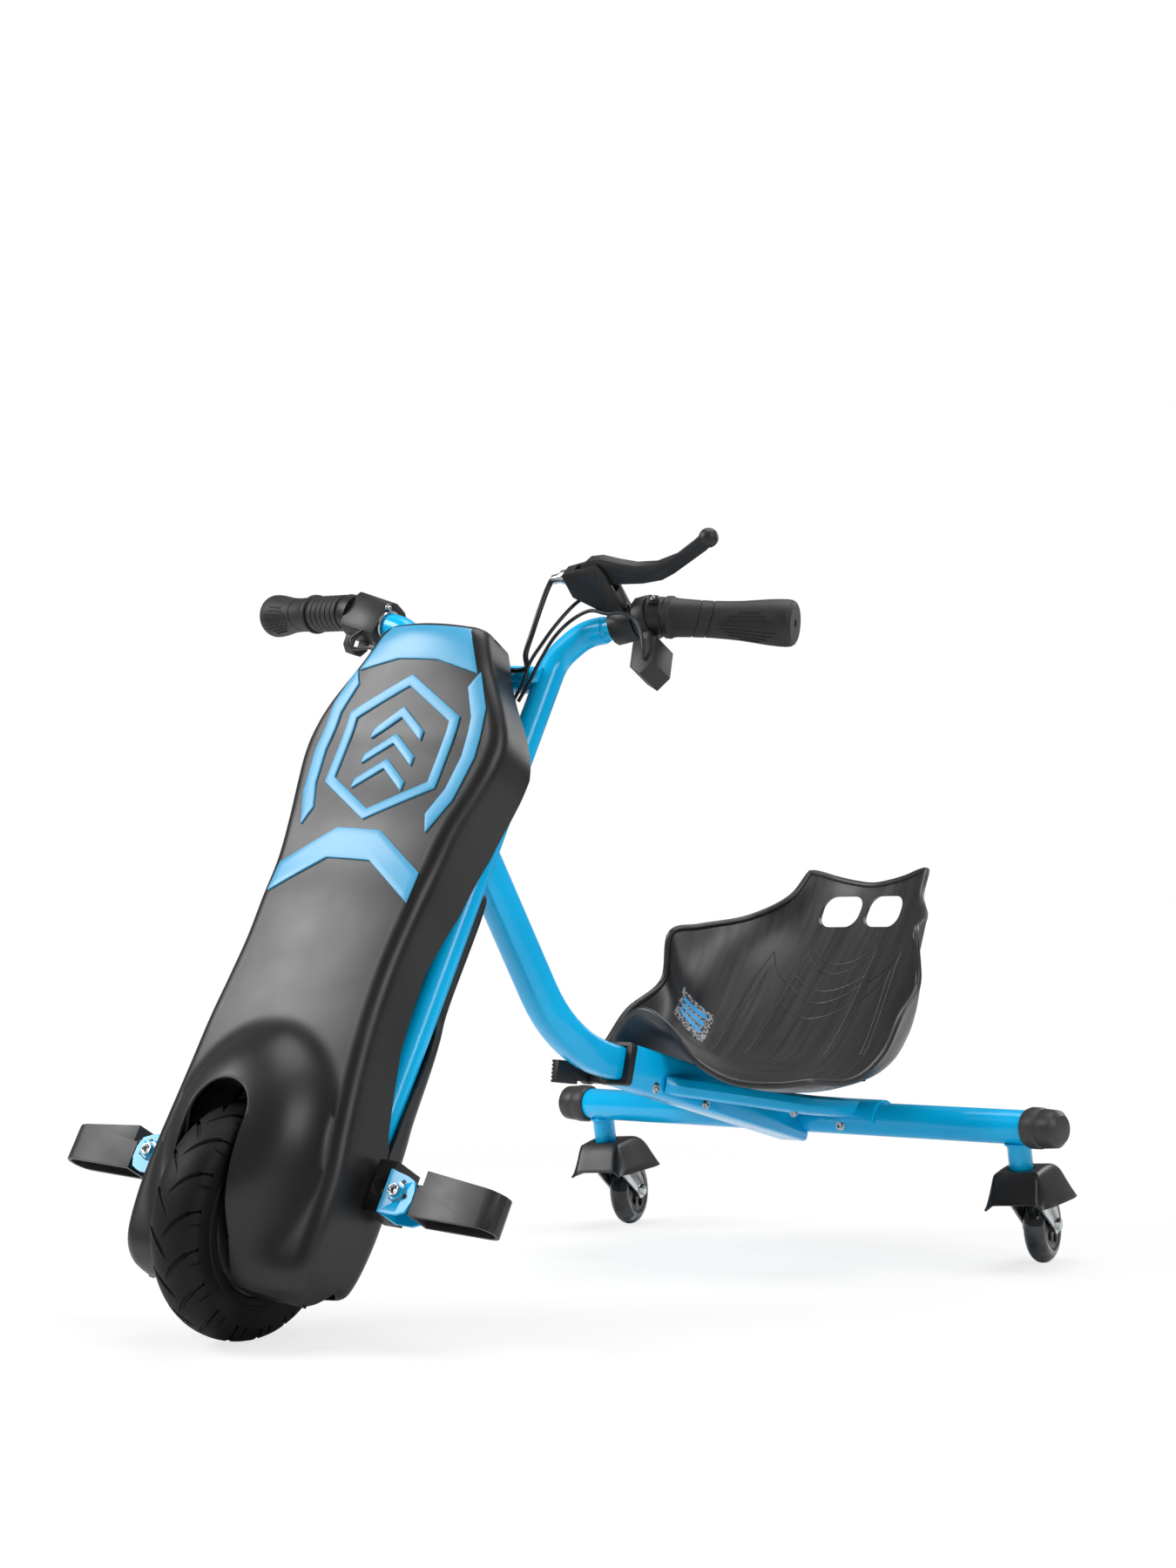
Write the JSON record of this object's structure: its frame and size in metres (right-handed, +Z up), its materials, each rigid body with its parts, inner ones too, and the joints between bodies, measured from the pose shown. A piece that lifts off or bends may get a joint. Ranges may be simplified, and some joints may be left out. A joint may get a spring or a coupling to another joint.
{
  "type": "electric drift trike",
  "caption": "Electric drift trike with a moulded front shroud, fork and handlebar in one, fold-up pegs, telescoping neck, bucket seat and two rear casters.",
  "frame": {"origin": "middle of the overall box in plan, on the floor", "axes": "+Z up, -Y the way the trike faces, +X the rider's left"},
  "size_m": [0.66, 1.0008, 0.6902],
  "materials": {
    "blue_paint": "gloss",
    "blue_trim": "satin",
    "black_plastic": "satin",
    "black_paint": "satin",
    "black_rubber": "matte",
    "tyre_rubber": "matte",
    "smoked_wheel": "gloss",
    "zinc": "satin",
    "steel": "satin",
    "battery_case": "matte"
  },
  "bodies": {
    "rear_frame": {"box_rail": "blue_paint", "axle_tube": "blue_paint", "side_brace_left": "blue_paint", "side_brace_right": "blue_paint", "axle_cap_left": "black_rubber", "axle_cap_right": "black_rubber", "rail_collar": "black_plastic", "seat_shell": "black_plastic", "seat_carrier": "black_paint"},
    "neck_tube": {"neck": "blue_paint", "head_bearing_upper": "steel", "head_bearing_lower": "steel"},
    "quick_release": {"quick_release_lever": "black_plastic"},
    "steering": {"handlebar_tube_left": "blue_paint", "handlebar_tube_right": "blue_paint", "crown_upper": "blue_paint", "crown_lower": "blue_paint", "steering_pin": "steel", "front_shell": "black_plastic", "rear_shell": "black_plastic", "trim_top": "blue_trim", "trim_bottom": "blue_trim", "battery_pack": "battery_case", "controller_box": "steel", "drive_motor": "steel", "drive_chain": "steel", "front_axle": "steel", "brake_band": "steel", "peg_clamp_left": "black_plastic", "peg_clamp_right": "black_plastic", "peg_bracket_left": "blue_paint", "peg_bracket_right": "blue_paint", "grip_left": "black_rubber", "grip_right": "black_rubber", "throttle_housing": "black_plastic", "brake_perch": "black_plastic", "switch_box": "black_plastic", "brake_cable": "black_rubber", "perch_wire": "black_rubber", "switch_wire": "black_rubber", "throttle_wire": "black_rubber"},
    "front_wheel": {"front_tyre": "tyre_rubber", "front_rim": "black_paint", "wheel_sprocket": "steel", "brake_drum": "steel"},
    "motor_pinion": {"motor_sprocket": "steel"},
    "peg_left": {"foot_peg_left": "black_plastic"},
    "peg_right": {"foot_peg_right": "black_plastic"},
    "throttle": {"throttle_sleeve": "black_rubber"},
    "lever": {"brake_lever": "black_plastic"},
    "button": {"switch_button": "black_rubber"},
    "drum_arm": {"brake_arm": "steel"},
    "caster_left": {"caster_fork_left": "zinc", "caster_fender_left": "black_plastic"},
    "caster_right": {"caster_fork_right": "zinc", "caster_fender_right": "black_plastic"},
    "caster_wheel_left": {"caster_tyre_left": "smoked_wheel", "caster_hub_left": "black_plastic"},
    "caster_wheel_right": {"caster_tyre_right": "smoked_wheel", "caster_hub_right": "black_plastic"}
  },
  "joints": [
    {"name": "neck_slide", "type": "slide", "parent": "rear_frame", "child": "neck_tube", "axis": [0, -0.9659, 0.2588], "range_m": [0, 0.08]},
    {"name": "quick_release_swing", "type": "hinge", "parent": "rear_frame", "child": "quick_release", "pos_m": [-0.036, 0.06917, 0.1967], "axis": [1, 0, 0], "range_deg": [0, 120]},
    {"name": "steering_turn", "type": "hinge", "parent": "neck_tube", "child": "steering", "pos_m": [0, -0.37854, 0.09025], "axis": [0, 0.4726, 0.8813], "range_deg": [-54.9, 35.1]},
    {"name": "front_wheel_spin", "type": "hinge", "parent": "steering", "child": "front_wheel", "pos_m": [0.00413, -0.39937, 0.10142], "axis": [0.9851, 0.1515, -0.0812], "continuous": true},
    {"name": "motor_spin", "type": "hinge", "parent": "steering", "child": "motor_pinion", "pos_m": [-0.04192, -0.3219, 0.24143], "axis": [0.9851, 0.1515, -0.0812], "continuous": true},
    {"name": "brake_lever_pull", "type": "hinge", "parent": "steering", "child": "lever", "pos_m": [0.14095, -0.10367, 0.66439], "axis": [-0.1409, 0.7755, 0.6154], "range_deg": [0, 12], "stiffness_Nm_per_rad": 0.5},
    {"name": "brake_arm_pull", "type": "hinge", "parent": "steering", "child": "drum_arm", "pos_m": [0.06697, -0.39552, 0.11978], "axis": [0.9851, 0.1515, -0.0812], "range_deg": [0, 12]},
    {"name": "throttle_twist", "type": "hinge", "parent": "steering", "child": "throttle", "pos_m": [-0.17303, -0.1142, 0.65145], "axis": [-0.9926, 0.1043, 0.0628], "range_deg": [0, 60], "stiffness_Nm_per_rad": 0.1},
    {"name": "switch_press", "type": "slide", "parent": "steering", "child": "button", "axis": [0.0946, -0.8774, 0.4704], "range_m": [0, 0.0015], "stiffness_N_per_m": 300},
    {"name": "foot_peg_left_fold", "type": "hinge", "parent": "steering", "child": "peg_left", "pos_m": [0.13681, -0.34023, 0.1219], "axis": [0.1719, -0.8682, 0.4655], "range_deg": [0, 60]},
    {"name": "foot_peg_right_fold", "type": "hinge", "parent": "steering", "child": "peg_right", "pos_m": [-0.13509, -0.38205, 0.14433], "axis": [-0.1719, 0.8682, -0.4655], "range_deg": [0, 60]},
    {"name": "caster_left_swivel", "type": "hinge", "parent": "rear_frame", "child": "caster_left", "pos_m": [0.277, 0.35436, 0.12095], "axis": [0, -0.1392, 0.9903], "continuous": true},
    {"name": "caster_right_swivel", "type": "hinge", "parent": "rear_frame", "child": "caster_right", "pos_m": [-0.277, 0.35436, 0.12095], "axis": [0, -0.1392, 0.9903], "continuous": true},
    {"name": "caster_left_roll", "type": "hinge", "parent": "caster_left", "child": "caster_wheel_left", "pos_m": [0.2628, 0.41444, 0.03795], "axis": [0.9588, 0.2813, 0.0395], "continuous": true},
    {"name": "caster_right_roll", "type": "hinge", "parent": "caster_right", "child": "caster_wheel_right", "pos_m": [-0.29328, 0.41377, 0.03795], "axis": [0.9455, 0.3224, 0.0453], "continuous": true}
  ],
  "couplings": [
    {"joint": "motor_spin", "follows": "front_wheel_spin", "ratio": 2},
    {"joint": "brake_arm_pull", "follows": "brake_lever_pull", "ratio": 1}
  ]
}
